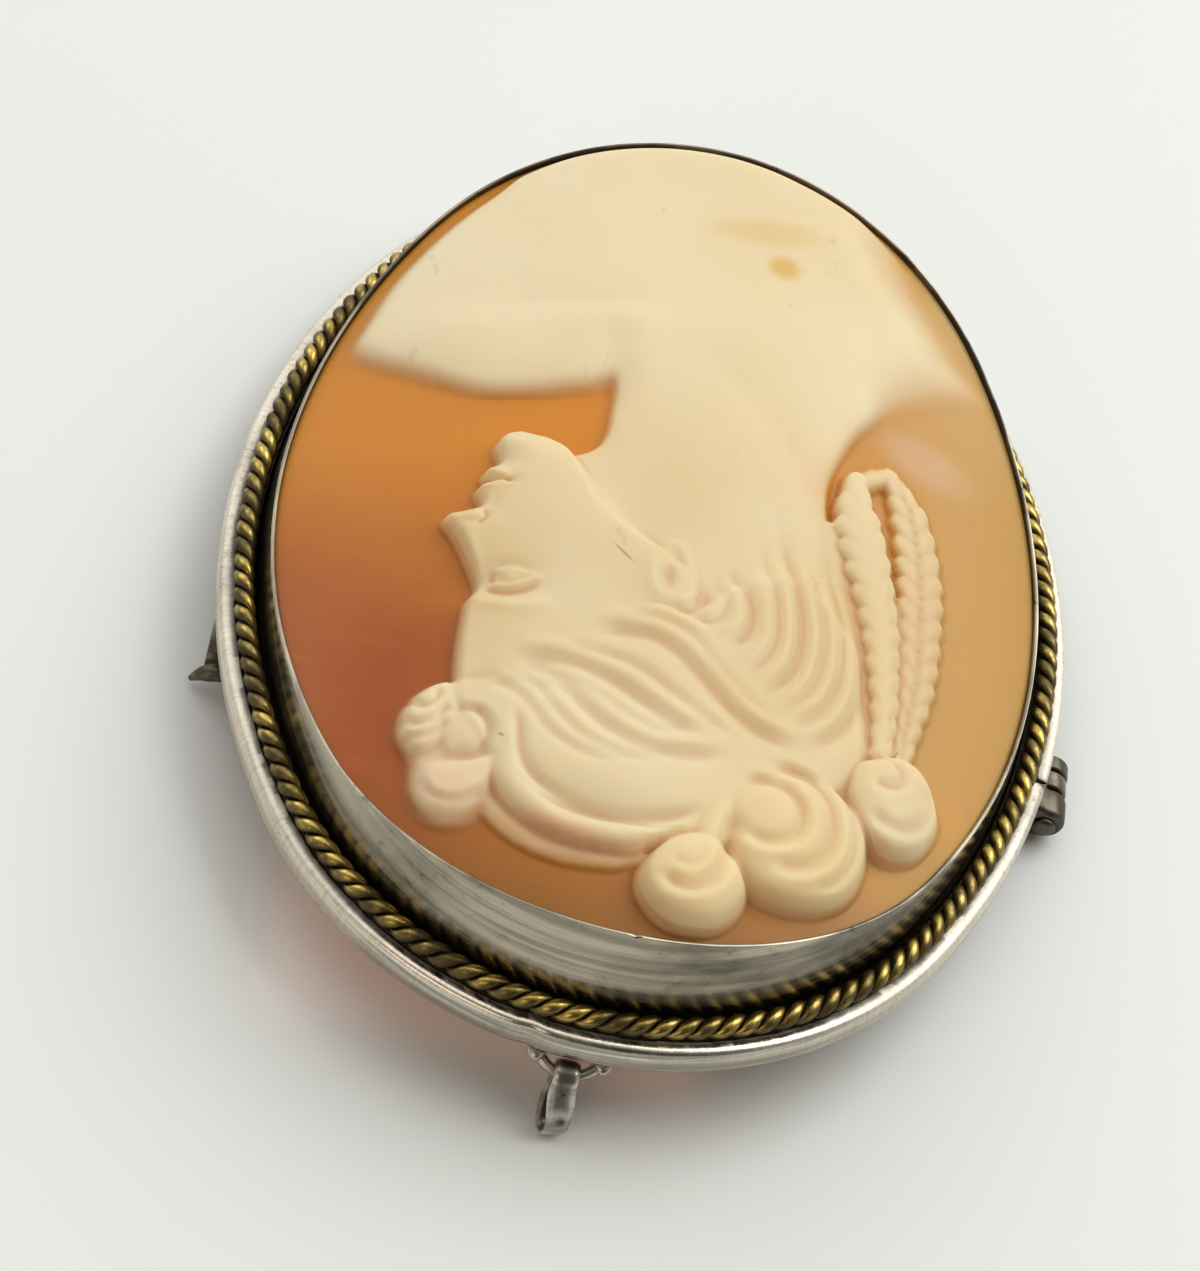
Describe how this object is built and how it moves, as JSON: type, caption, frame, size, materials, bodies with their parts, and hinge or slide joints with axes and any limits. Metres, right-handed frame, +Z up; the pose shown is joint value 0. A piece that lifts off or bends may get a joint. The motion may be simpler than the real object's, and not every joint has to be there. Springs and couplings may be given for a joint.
{
  "type": "cameo brooch",
  "caption": "Oval cameo brooch: carved shell portrait in a tall silver collar with a twisted rope border, hinged pin, C catch and a small swinging bail.",
  "frame": {"origin": "middle of the flat underside of the back plate", "axes": "+Y to the top of the portrait along the oval's length, +X to the portrait's right as it is seen from the front, +Z up, out of the carved face; the brooch is tipped about X by about 4 degrees, as it lies on its hinge, catch and far edge"},
  "size_m": [0.0411, 0.0532, 0.0126],
  "materials": {
    "silver": "worn silver with dark tarnish in its corners",
    "shell": "carved shell, cream relief on an orange ground, softly polished",
    "rope_brass": "aged brass wire, dark between the strands",
    "steel": "dull brown tarnished metal"
  },
  "bodies": {
    "brooch": {"setting": "silver", "cameo": "shell", "rope_strand_a": "rope_brass", "rope_strand_b": "rope_brass", "hinge_rivet": "steel"},
    "pin": {"pin_stem": "steel"},
    "bail": {"bail": "silver"}
  },
  "joints": [
    {"name": "pin_hinge", "type": "hinge", "parent": "brooch", "child": "pin", "pos_m": [-0.0201, 0.00405, -0.00067], "axis": [0, 0.9976, 0.0697], "range_deg": [0, 120]},
    {"name": "bail_swing", "type": "hinge", "parent": "brooch", "child": "bail", "pos_m": [0.00025, 0.02568, 0.00113], "axis": [1, 0, 0], "range_deg": [-95, 95]}
  ]
}
